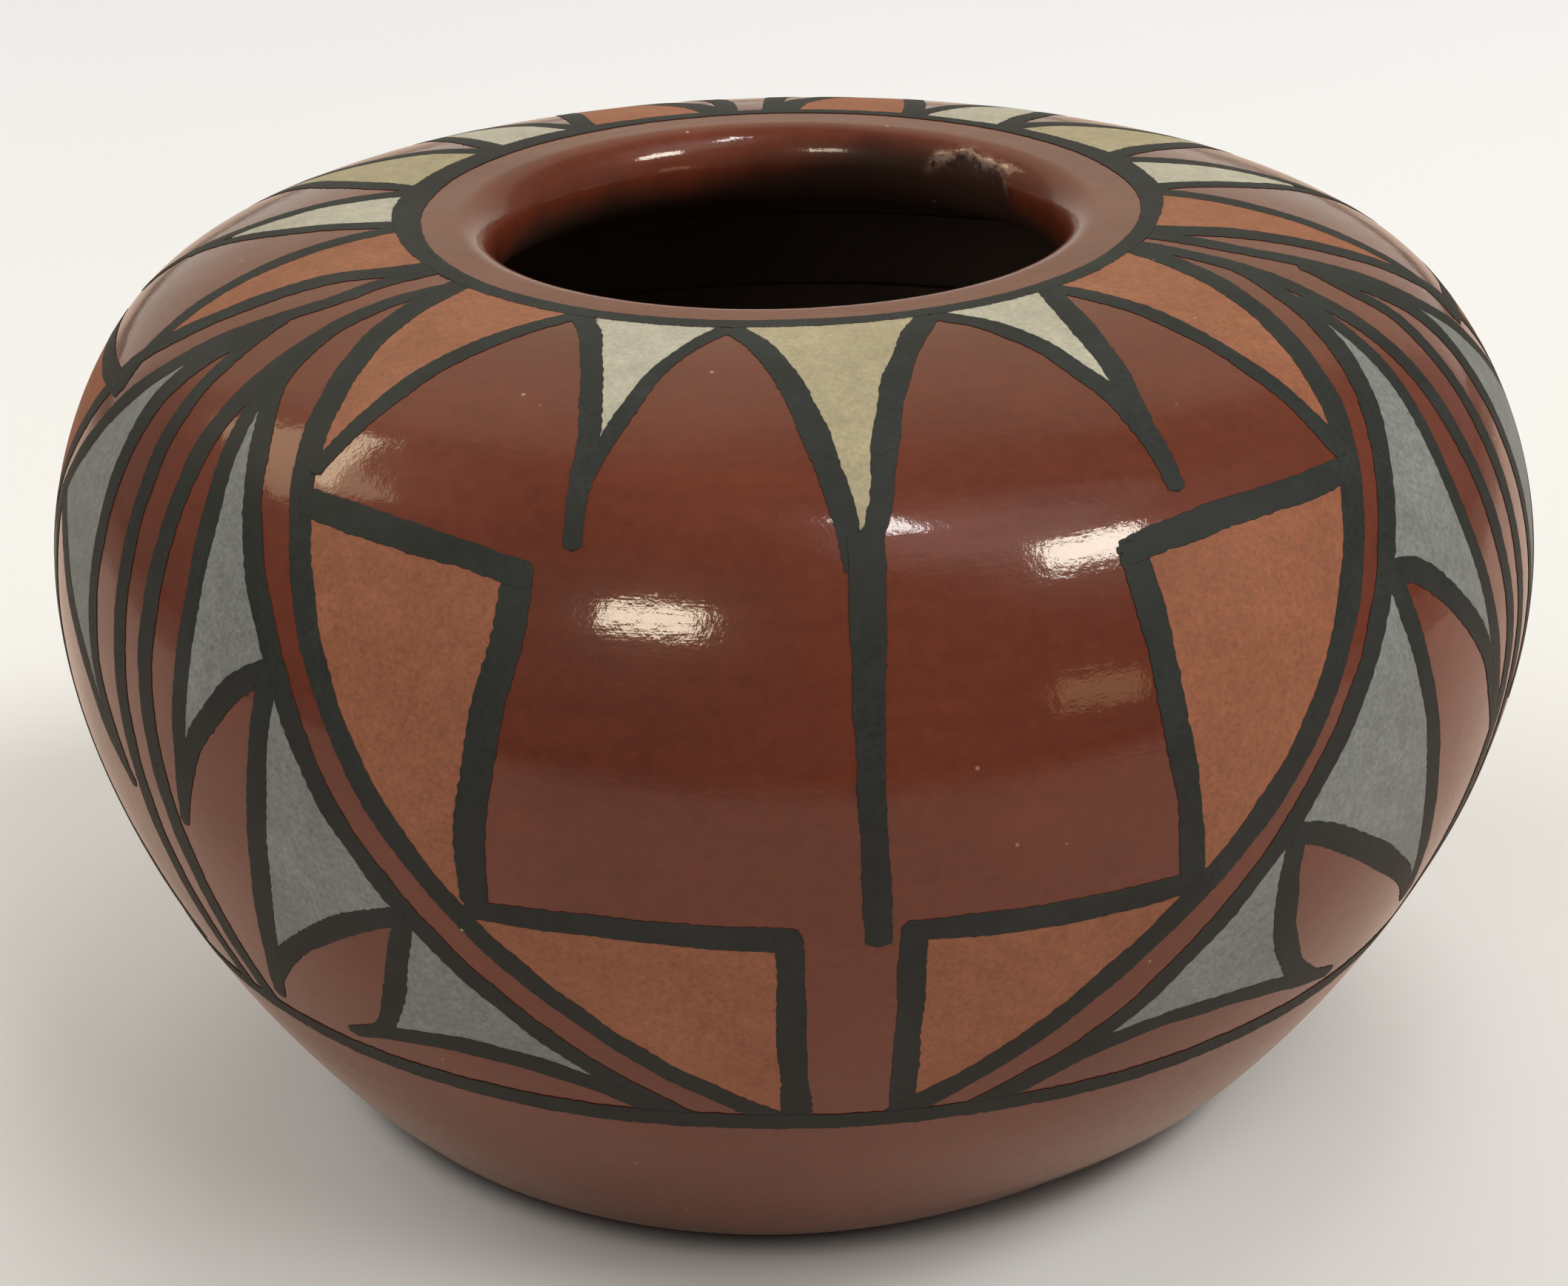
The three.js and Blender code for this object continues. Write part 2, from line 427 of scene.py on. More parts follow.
def slip_rings():
    """Skin around the bowl: for each turn the outside from the foot to the ragged edge inside the lip, and
    back along the clay; at the back right it has blistered off the roll of the lip and left a raised edge.
    Gives the points, their reach, how smoke-dark they are inside the lip, and how strong the painted
    highlight is along the raised edge of the blister."""
    turn = full_turn(slip_turns)[:, None]
    start = 0.35 * mm * np.sin(5 * turn + 0.4) + 0.25 * mm * np.sin(13 * turn + 2.0)
    ragged = (0.8 * np.sin(2 * turn + 1.1) + 0.5 * np.sin(5 * turn) + 0.3 * np.sin(11 * turn + 0.7)
              + 0.15 * np.sin(29 * turn + 2.2) + 0.1 * np.sin(47 * turn))
    finish = outline_reach[-1] - slip_stop + 0.8 * mm * ragged
    out_share = np.append(np.linspace(0, lip_share, 140)[:-1], np.linspace(lip_share, 1, 46))[None, :]
    back_share = np.append(np.linspace(1, lip_share, 14)[:-1], np.linspace(lip_share, 0, 40))[None, :]
    share = np.append(out_share, back_share, axis=1)
    reach = start + (finish - start) * share
    edge = np.minimum(reach - start, finish - reach) / slip_edge
    round_off = np.sqrt(np.clip(1 - (1 - np.clip(edge, 0, 1)) ** 2, 0, 1))
    depth = np.append(slip_thickness / 2 * (1 - round_off[:, :out_share.size]),
                      slip_thickness / 2 * (1 + round_off[:, out_share.size:]), axis=1)
    past_neck = (reach - neck_reach) / mm
    licks = 0.5 * np.sin(4 * turn + 1) + 0.3 * np.sin(13 * turn) + 0.2 * np.sin(31 * turn)
    smoke_edge = smoke_start - 3.4 * swelling(turn, 2.65, 0.6) + licks
    smoke = eased(past_neck, smoke_edge, smoke_edge + smoke_fade)
    blister = np.exp(-((turn - blister_turn) / blister_spread) ** 6)
    frayed = 0.3 * np.sin(23 * turn + 0.5) + 0.22 * np.sin(41 * turn + 1) + 0.16 * np.sin(67 * turn + 2)
    blister_edge = past_neck - (blister_start + 6 * (1 - blister) + frayed)
    bare = blister * eased(blister_edge, -0.1, 0.3)
    curl_and_glint = eased(blister, 0.55, 0.95) * np.exp(-((blister_edge - 0.2) / 0.6) ** 2)
    depth[:, :out_share.size] += (blister_sink * bare - blister_curl * curl_and_glint)[:, :out_share.size]
    return finished(turn, reach, -depth), reach, np.maximum(smoke, bare), curl_and_glint


def pinholes(place, scale, size, rarity):
    """Up to 1 in small round dots scattered through space, 0 elsewhere; a rarity near 1 leaves few."""
    distance, tint = spots(place, scale)
    dot = span(distance, size * 0.4, size * 1.4, 1.0, 0.0)
    return product(dot, span(tint, rarity, rarity + 0.15, 0.0, 1.0))


def tinted(colour, value, low, high):
    """Colour multiplied by a grey that follows a value between two shades."""
    return blend(1.0, colour, two_tone(value, [low] * 3, [high] * 3), "MULTIPLY")


def axes(place):
    """The three coordinates of a place, each by itself."""
    return list(added(place, "SeparateXYZ", {"Vector": place}).outputs)


def slip_material():
    """Polished red slip: mottled brown red with faint level polishing streaks in colour and height and fine
    pale pinholes. The streaks follow the field reach up the wall, the field smoke darkens and dulls it
    inside the lip, and the field frayed lightens it along the blistered edge: pale clay with a painted
    highlight on the raised edge."""
    material, tree, shader = new_material("red_slip", 0.34, 1.4)
    place = coordinates(tree)
    smoke = field_value(tree, "smoke")
    cloud = noise(place, 48, 5, 0.6)
    grain = noise(place, 900, 3, 0.7)
    waves_round, waves_up = 70, 900
    right, back, _ = axes(place)
    drawn_out = {"X": span(right, -1, 1, -waves_round, waves_round),
                 "Y": span(back, -1, 1, -waves_round, waves_round),
                 "Z": span(field_value(tree, "reach"), -1, 1, -waves_up, waves_up)}
    streak = noise(added(place, "CombineXYZ", drawn_out).outputs["Vector"], 1.0, 4, 0.6, 0.3)
    red = ramp(cloud, [(0.28, (0.098, 0.0184, 0.0073)), (0.5, (0.1177, 0.0227, 0.0091)),
                       (0.72, (0.140, 0.0282, 0.0116))])
    red = tinted(tinted(red, streak, 0.95, 1.05), grain, 0.90, 1.10)
    red = blend(smoke, red, two_tone(cloud, (0.022, 0.0105, 0.0075), (0.040, 0.018, 0.012)))
    pale = two_tone(cloud, (0.36, 0.22, 0.16), (0.50, 0.36, 0.28))
    # painted highlight: pale colour along the raised edge of the blister, where the field frayed is high
    red = blend(product(field_value(tree, "frayed"), span(grain, 0.40, 0.62, 0.0, 0.5)), red, pale)
    red = blend(pinholes(place, 267, 0.042, 0.44), red, pale)
    ripple = bump(streak, 0.02 * mm, 0.7)
    waves = bump(noise(place, 80, 2), 0.3 * mm, 0.45, ripple)
    worn = bump(grain, 0.02 * mm, 0.9, waves)
    wire(shader, {"Base Color": red, "Roughness": span(grain, 0.3, 0.7, 0.3, 0.4), "Normal": worn,
                  "Specular IOR Level": 0.16, "Coat Roughness": 0.085, "Coat IOR": 1.47, "Coat Normal": worn,
                  "Coat Weight": span(smoke, 0.0, 0.7, 1.0, 0.25, "SMOOTHSTEP")})
    return material


slip_grid, slip_reach, slip_smoke, slip_edge_glint = slip_rings()
slip_points, slip_faces = skin(slip_grid, loop=True)
red_slip = slip_material()
piece("red_slip", slip_points, slip_faces, True, red_slip, ["red_slip"],
      {"reach": slip_reach, "smoke": slip_smoke, "frayed": slip_edge_glint})

# Ochre paint: the petals at the neck and the stepped fields of each panel, filled in between the lines.
# Matt yellow-brown slip laid on with a brush over the polished red; it lies a few hundredths of a mm proud.
# The design is drawn in degrees round from the front and millimetres of reach up the wall.
fill_lift = 0.02 * mm
fill_spacing = 0.3  # millimetres between points of a drawn side
fill_rows, fill_columns = 42, 26
keel_depth = 0.05 * mm  # how deep the underside of a paint reaches into the slip


def degree_width(path):
    """Millimetres round the wall in one degree, at each (turn, reach) of a path."""
    return section(path[:, 1] * mm)[0] / mm * math.radians(1)


def drawn_path(points, spacing):
    """Smooth path through given (turn, reach) points: Catmull-Rom spans with mirrored end points,
    then even steps of about the spacing in millimetres along the wall."""
    knots = np.array(points, dtype=float)
    knots = np.vstack([2 * knots[0] - knots[1], knots, 2 * knots[-1] - knots[-2]])
    share = np.linspace(0, 1, 24, endpoint=False)[None, :, None]
    before, start, end, after = [knots[index:len(knots) - 3 + index, None, :] for index in range(4)]
    curve = 0.5 * (2 * start + (end - before) * share
                   + (2 * before - 5 * start + 4 * end - after) * share ** 2
                   + (3 * start - before - 3 * end + after) * share ** 3)
    curve = np.vstack([curve.reshape(-1, 2), knots[-2:-1]])
    width = degree_width(curve)
    step = np.diff(curve, axis=0)
    length = np.append(0, np.cumsum(np.hypot(step[:, 0] * (width[1:] + width[:-1]) / 2, step[:, 1])))
    even = np.linspace(0, length[-1], max(6, int(length[-1] / spacing) + 1))
    return np.stack([np.interp(even, length, curve[:, axis]) for axis in (0, 1)], axis=1), even


def paint_band(left, right, share, lift):
    """Thin closed slab of paint between two edges given as matching rows of (turn, reach): each row follows
    the wall from edge to edge at the given shares of the way, and its underside is a keel in the slip."""
    rows = left[:, None, :] + (right - left)[:, None, :] * np.append(share, 0.5)[None, :, None]
    height = np.append(np.full(len(share), lift), -keel_depth)
    return finished(np.radians(rows[..., 0]), rows[..., 1] * mm, height[None, :])


def filled(first, second):
    """Field of paint ruled between two drawn sides; a side may be several paths meeting in corners."""
    def side(paths):
        """Paths joined end to end, read at even shares of their length."""
        joined = np.vstack([drawn_path(path, fill_spacing)[0] for path in paths])
        share = lengths(joined) / lengths(joined)[-1]
        return np.stack([np.interp(rows, share, joined[:, axis]) for axis in (0, 1)], axis=1)
    rows = np.linspace(0, 1, fill_rows)
    return paint_band(side(first), side(second), np.linspace(0, 1, fill_columns), fill_lift)


def merged(bands, hoops=()):
    """Several bands of paint, and hoops of paint that close on themselves, as one list of points, faces and
    smooth marks: only the tops are smooth."""
    points, faces, smooth, count = [], [], [], 0
    for number, rings in enumerate([*bands, *hoops]):
        loop = number >= len(bands)
        band_points, band_faces = skin(rings, loop)
        top = np.arange(rings.shape[1]) < rings.shape[1] - 2
        marks = np.zeros(len(band_faces), dtype=bool)
        rows = len(rings) - (0 if loop else 1)
        marks[:rows * len(top)] = np.tile(top, rows)
        points.append(band_points)
        smooth.append(marks)
        faces.extend([[corner + count for corner in face] for face in band_faces])
        count += len(band_points)
    return np.vstack(points), faces, np.concatenate(smooth)


def paint_finish(shader, place, body, roughness, speckle):
    """Matt brushed slip over a body colour: soft blotches and powdery grain in colour, gloss and height,
    and a few pale specks. Speckle is how far the grain lightens and darkens the colour."""
    blotch = noise(place, 650, 4, 0.6)
    grain = noise(place, 2400, 3, 0.75)
    body = tinted(tinted(body, blotch, 0.91, 1.08), grain, 1 - speckle, 1 + speckle)
    pale = two_tone(blotch, (0.34, 0.27, 0.21), (0.52, 0.45, 0.37))
    dry = bump(blotch, 0.02 * mm, 0.4)
    wire(shader, {"Base Color": blend(pinholes(place, 260, 0.036, 0.68), body, pale),
                  "Roughness": span(grain, 0.3, 0.7, roughness - 0.1, roughness + 0.1),
                  "Specular IOR Level": 0.38, "Normal": bump(grain, 0.012 * mm, 0.5, dry)})


def brush_clouds(place):
    """Cloudy value that a brushed colour drifts with."""
    return noise(place, 110, 4, 0.6, 0.4)


def rising(value, low, high):
    """Smooth step from 0 to 1 between two limits of a value."""
    return span(value, low, high, 0.0, 1.0, "SMOOTHSTEP")


def paint_material(name, colours, roughness, speckle, painted_sheen_tint):
    """Brushed slip in three close shades that drift over the surface, times a lighter painted sheen tint on
    the level of the shoulder."""
    material, tree, shader = new_material(name, roughness, 1.45)
    place = coordinates(tree)
    body = ramp(brush_clouds(place), list(zip((0.3, 0.5, 0.7), colours)))
    _, _, height = axes(place)
    # painted sheen: the colour is multiplied by a lighter tint towards the level shoulder
    painted_sheen = ramp(rising(height, 69 * mm, 75 * mm), [(0.0, (1, 1, 1)), (1.0, painted_sheen_tint)])
    paint_finish(shader, place, blend(1.0, body, painted_sheen, "MULTIPLY"), roughness, speckle)
    return material


# Other panels repeat one half panel, drawn in degrees from the panel's middle: centre, side, stretch, lean.
other_halves = [(-115.8, 1, 1.039, -0.105), (-115.8, -1, 1.02, 0.0), (126.2, -1, 1.02, 0.10),
                (126.2, 1, 0.98, 0.0)]


def placed(points, half):
    """Half-panel points set at a panel's centre, to one side, leaning near the stripes beside it."""
    centre, side, stretch, lean = half
    points = np.array(points, dtype=float)
    near_stripe = np.clip((points[:, 0] - 40) / 19, 0, 1)
    turn = centre + side * stretch * points[:, 0] + lean * (points[:, 1] - 70) * near_stripe
    return np.stack([turn, points[:, 1]], axis=1)


def panel_bands(front, half_panel):
    """Filled fields of the front panel, then of the four half panels behind it."""
    bands = [filled(first, second) for first, second in front]
    for half in other_halves:
        for first, second in half_panel:
            sides = [[placed(path, half) for path in side] for side in (first, second)]
            bands.append(filled(*sides))
    return bands


front_ochre = [
    ([[(-53, 104.3), (-49, 95), (-43.4, 85), (-40, 78.5)]],
     [[(-29.8, 104.3), (-32.9, 100), (-35.9, 95), (-37.4, 90), (-38.4, 84), (-39.3, 78.5)]]),
    ([[(43, 104.3), (44.8, 100), (46.2, 95), (46.5, 88), (47.3, 77)]],
     [[(65, 104.3), (60.3, 95), (53.5, 85), (48.4, 76.8)]]),
    ([[(-39.2, 76.2), (-34, 65), (-28.5, 55), (-24.2, 48.7)]],
     [[(-19.3, 74.8), (-20.5, 65), (-21.9, 55), (-22.4, 48.7)]]),
    ([[(-23.9, 48.5), (-21.1, 45), (-11.3, 35), (-2.4, 28)]],
     [[(-1.1, 48.1), (-1, 42), (-0.9, 35), (-0.8, 28)]]),
    ([[(24.9, 74.4), (25.2, 65), (26.1, 55), (26.6, 48.6)]],
     [[(47.2, 75.1), (41, 65), (34, 55), (28.6, 48.6)]]),
    ([[(7, 48.4), (7.05, 42), (7.1, 35), (7.4, 28)]],
     [[(27.9, 48.4), (25, 45), (15.4, 35), (7.6, 28)]]),
]
half_ochre = [
    ([[(53, 103.7), (50.9, 100), (47.4, 95), (44, 85), (42.6, 78.5)]],
     [[(31, 103.7), (31.8, 101), (34.2, 96), (36.6, 91), (39, 86), (42, 78.5)]]),
    ([[(40.5, 76), (35.5, 65), (31, 56), (25.8, 48.6)]], [[(21.4, 74.6), (22.4, 61), (23.9, 48.7)]]),
    ([[(25.5, 48.5), (16, 38), (8, 30.5), (4.8, 28)]], [[(4.2, 48.3), (4.1, 40), (3.7, 28)]]),
]
ochre_points, ochre_faces, ochre_smooth = merged(panel_bands(front_ochre, half_ochre))
ochre_shades = [(0.224, 0.0768, 0.0360), (0.246, 0.0860, 0.0413), (0.269, 0.0964, 0.0477)]
# the last tint is a painted sheen, lighter on the level shoulder
ochre = paint_material("ochre_paint", ochre_shades, 0.62, 0.22, (1.06, 1.20, 1.25))
piece("ochre_paint", ochre_points, ochre_faces, ochre_smooth, ochre, [], {})

# Cream paint: the darts between the arched petals that hang from the neck ring.
# Matt slip brushed between the black arches, buff in the middle dart of a panel and whiter at its sides.
front_cream = [
    ([[(-27, 104.3), (-24.3, 100), (-20.6, 95), (-18.2, 90), (-16.6, 86.5)]],
     [[(-7.8, 104.3), (-10.6, 100), (-13.4, 95), (-14.6, 90), (-15.3, 86.5)]]),
    ([[(23, 104.3), (26.9, 100), (29.6, 95), (30.6, 90), (31.3, 87)]],
     [[(41.5, 104.3), (39.1, 100), (36.1, 95), (33.8, 90), (32.5, 87)]]),
]
half_cream = [
    ([[(13, 103.7), (14, 100), (15.6, 96), (17.6, 92), (19.4, 87.5)]],
     [[(29, 103.7), (27.9, 100), (26.3, 96), (24.3, 92), (21.9, 87.5)]]),
]
front_buff = ([[(-6, 104.3), (-2.5, 100), (0.5, 95), (2.1, 90), (3.3, 85), (4.9, 78)]],
              [[(20.5, 104.3), (16.9, 100), (12.8, 95), (10.1, 90), (8.3, 85), (5.9, 78)]])
half_buff = [(11.5, 103.7), (10.3, 101), (8.3, 97), (6, 93), (3.6, 89), (1.6, 84), (0.4, 78)]
cream_bands = panel_bands(front_cream, half_cream)
side_count = sum(rings.shape[0] * rings.shape[1] for rings in cream_bands)
cream_bands.append(filled(*front_buff))
for near, far in (other_halves[:2], other_halves[2:]):
    cream_bands.append(filled([placed(half_buff, near)], [placed(half_buff, far)]))
cream_points, cream_faces, cream_smooth = merged(cream_bands)
cream, cream_tree, cream_shader = new_material("cream_paint", 0.62, 1.45)
cream_place = coordinates(cream_tree)
cream_cloud = brush_clouds(cream_place)
white_body = two_tone(cream_cloud, (0.359, 0.336, 0.253), (0.420, 0.400, 0.310))
buff_body = two_tone(cream_cloud, (0.304, 0.262, 0.156), (0.358, 0.313, 0.195))
cream_body = blend(field_value(cream_tree, "buff"), white_body, buff_body)
paint_finish(cream_shader, cream_place, cream_body, 0.62, 0.18)
piece("cream_paint", cream_points, cream_faces, cream_smooth, cream, [],
      {"buff": (np.arange(len(cream_points)) >= side_count).astype(float)})

# Grey paint: the three curved feathers on each side of a panel.
# Matt blue-grey slip brushed inside the black feather lines.
front_grey = [
    ([[(-51.2, 84), (-48.4, 76), (-47.3, 70), (-47.1, 63), (-48, 52.5)]],
     [[(-51.2, 84), (-46.2, 79.2), (-41, 70), (-38, 64.4)],
      [(-38, 64.4), (-40.8, 62), (-43.7, 58.7), (-47.6, 52.5)]]),
    ([[(-38.2, 63.5), (-39.3, 55), (-41.1, 45), (-43.6, 36.5)]],
     [[(-38.2, 63.5), (-33, 55), (-28, 47.3)], [(-28, 47.3), (-32.1, 44.6), (-37, 41.3), (-43.3, 35.6)]]),
    ([[(-27.9, 46.3), (-29.2, 42.5), (-31, 37), (-33, 33.2)]],
     [[(-27.2, 46.4), (-22, 39.8), (-16.2, 33.8), (-15, 32)],
      [(-15, 32), (-17, 31.9), (-22, 33), (-27, 33.1), (-32.8, 32.2)]]),
    ([[(63.2, 88), (61, 82), (59, 75), (58.2, 68), (59.3, 60), (60, 55)]],
     [[(63.2, 88), (59.4, 85), (51.7, 75), (47, 67)],
      [(47, 67), (49.8, 65.8), (52.7, 63.3), (55.5, 60), (59.6, 53.6)]]),
    ([[(47.1, 66.3), (48.2, 60), (49.4, 55), (51.8, 45.7), (55, 37.5)]],
     [[(46, 66.3), (37.9, 55), (35, 50.2)],
      [(35, 50.2), (37.9, 48.7), (42, 46.1), (46.9, 42.3), (54.8, 35.3)]]),
    ([[(35.4, 48.8), (35.5, 45), (36.7, 40), (39.6, 35)]],
     [[(33.4, 48.8), (30.6, 45), (22.4, 35), (20.8, 33)],
      [(20.8, 33), (27, 34), (32, 33.8), (39.4, 32.6)]]),
]
half_grey = [
    ([[(51.9, 84), (51.2, 80), (51.1, 74), (51.4, 66), (52.4, 54)]],
     [[(50.6, 84), (48.2, 80), (44.8, 75), (38.4, 65.8)],
      [(38.4, 65.8), (42, 63.5), (46, 60), (52, 52)]]),
    ([[(37.9, 65.5), (40, 57), (42.5, 49), (47.5, 37.5)]],
     [[(38, 65.5), (33.3, 56.5), (28.4, 49)], [(28.4, 49), (33, 47), (38.5, 43.2), (47.2, 34.8)]]),
    ([[(28.2, 48.5), (29, 44), (30.8, 39), (33.8, 34.5)]],
     [[(28, 48.5), (20, 38), (16.4, 33)], [(16.4, 33), (23, 33.6), (28.5, 33.5), (33.4, 32.4)]]),
]
grey_points, grey_faces, grey_smooth = merged(panel_bands(front_grey, half_grey))
grey_shades = [(0.157, 0.164, 0.149), (0.177, 0.185, 0.169), (0.199, 0.208, 0.190)]
grey = paint_material("grey_paint", grey_shades, 0.66, 0.28, (1, 1, 1))
piece("grey_paint", grey_points, grey_faces, grey_smooth, grey, [], {})

# Black paint: the neck ring, the foot ring and every outline, laid last over the colours.
# Matt black slip in single brush strokes about 2 mm wide, with rounded ends and slightly unsteady edges.
line_lift = 0.04 * mm
line_spacing = 0.31  # millimetres between points along a stroke
over_lift = 0.052 * mm  # the rings and the middle lines lie over the ends of the other strokes
line_share = np.array([0, 0.025, 0.5, 0.975, 1])  # points across a stroke
line_wander = 0.06, 0.045  # slow and fine unsteadiness of its edges, in millimetres
half_shake = 0.18, 0.108  # how far a point of a repeated stroke strays, in degrees and millimetres
hand = np.random.default_rng(41)


def unsteady(length, slow, fine):
    """Smooth seeded wander along a stroke: slow and fine sines with random pitch and phase."""
    pitch = np.append(hand.uniform(0.25, 1.2, 4), hand.uniform(2.0, 8.0, 9))[:, None]
    size = np.append(np.full(4, slow / 2), np.full(9, fine / 3))[:, None]
    phase = hand.uniform(0, 2 * math.pi, 13)[:, None]
    return np.sum(size * np.sin(pitch * length[None, :] + phase), axis=0)


def stroke(points, widths, lift):
    """Brush stroke along a drawn path: two edges half a width to either side, with rounded ends; the
    widths in millimetres are spread evenly along it."""
    path, length = drawn_path(points, line_spacing)
    degree = degree_width(path)
    step = np.gradient(path, axis=0) * np.stack([degree, np.ones(len(degree))], axis=1)
    step /= np.hypot(step[:, 0], step[:, 1])[:, None]
    sideways = np.stack([-step[:, 1] / degree, step[:, 0]], axis=1)
    width = np.interp(np.linspace(0, 1, len(path)), np.linspace(0, 1, len(widths)), widths) / 2
    to_end = np.minimum(length, length[-1] - length) / width
    end = np.sqrt(np.clip(1 - (1 - np.clip(to_end * 2.0, 0, 1)) ** 2, 0.01, 1))
    one = (width + unsteady(length, *line_wander)) * end
    other = (width + unsteady(length, *line_wander)) * end
    return paint_band(path + sideways * one[:, None], path - sideways * other[:, None], line_share, lift)


